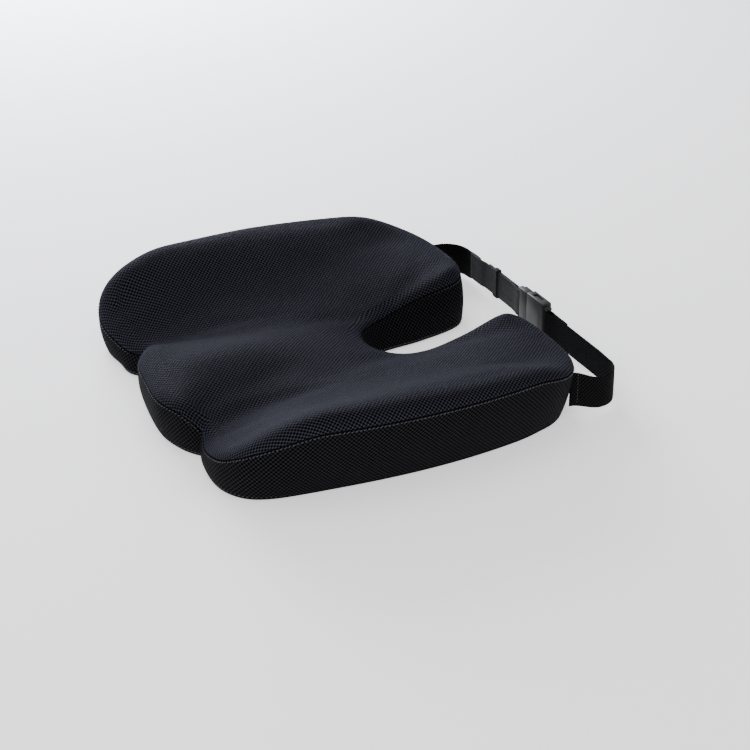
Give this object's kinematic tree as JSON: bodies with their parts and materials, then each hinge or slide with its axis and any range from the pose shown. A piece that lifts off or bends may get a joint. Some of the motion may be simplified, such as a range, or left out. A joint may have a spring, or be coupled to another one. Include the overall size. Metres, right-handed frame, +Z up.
{
  "type": "seat cushion",
  "caption": "U-shaped foam seat cushion with a contoured top, rear tailbone cut-out, zipped mesh cover and a buckled strap for the chair back.",
  "frame": {"origin": "on the underside, in the middle of the width, between the front lobes and the rear cut-out", "axes": "+X to the sitter's left, +Y to the back of the seat, +Z up out of the seat surface"},
  "size_m": [0.445, 0.4325, 0.085],
  "materials": {
    "foam": "open cell memory foam, warm off-white",
    "mesh_top": "black three layer air mesh with small staggered holes",
    "mesh_side": "black finer air mesh",
    "base_cloth": "black plain weave with grip dots",
    "thread": "grey twisted polyester thread",
    "zip_tape": "black woven tape",
    "zip_teeth": "black nylon coil",
    "zip_metal": "black lacquered die casting",
    "strap_elastic": "black woven elastic",
    "strap_webbing": "black ribbed webbing",
    "keeper": "black moulded loop",
    "buckle": "black acetal, fine satin"
  },
  "bodies": {
    "cushion": {"foam_core": "foam", "cover_top_panel": "mesh_top", "cover_side_band": "mesh_side", "cover_bottom_panel": "base_cloth", "top_seam_thread": "thread", "bottom_seam_thread": "thread", "zip_tape_upper": "zip_tape", "zip_tape_lower": "zip_tape", "zip_coil_upper": "zip_teeth", "zip_coil_lower": "zip_teeth", "zip_stop_front": "zip_metal", "zip_stop_rear": "zip_metal", "strap_right_band": "strap_elastic", "strap_left_band": "strap_elastic", "strap_left_webbing": "strap_webbing", "strap_keeper": "keeper", "buckle_socket": "buckle"},
    "zip_slider": {"zip_slider_body": "zip_metal"},
    "zip_pull": {"zip_pull_tab": "zip_metal"},
    "buckle_plug": {"buckle_plug": "buckle"},
    "latch_arm_upper": {"latch_arm_upper": "buckle"},
    "latch_arm_lower": {"latch_arm_lower": "buckle"}
  },
  "joints": [
    {"name": "zip_run", "type": "hinge", "parent": "cushion", "child": "zip_slider", "pos_m": [0.379, 0.02, 0.03475], "axis": [0, 0, 1], "range_deg": [0, 15.3]},
    {"name": "zip_pull_swing", "type": "hinge", "parent": "zip_slider", "child": "zip_pull", "pos_m": [-0.20909, 0.09941, 0.03356], "axis": [0.2866, -0.0387, -0.9573], "range_deg": [0, 175]},
    {"name": "buckle_release", "type": "slide", "parent": "cushion", "child": "buckle_plug", "axis": [-1, 0, 0], "range_m": [0, 0.032], "deforming": ["strap_left_webbing", "latch_arm_upper", "latch_arm_lower"]},
    {"name": "latch_upper_press", "type": "hinge", "parent": "buckle_plug", "child": "latch_arm_upper", "pos_m": [-0.0078, 0.243, 0.0353], "axis": [0, 1, 0], "range_deg": [0, 9], "stiffness_Nm_per_rad": 0.05},
    {"name": "latch_lower_press", "type": "hinge", "parent": "buckle_plug", "child": "latch_arm_lower", "pos_m": [-0.0078, 0.243, 0.0097], "axis": [0, -1, 0], "range_deg": [0, 9], "stiffness_Nm_per_rad": 0.05}
  ]
}
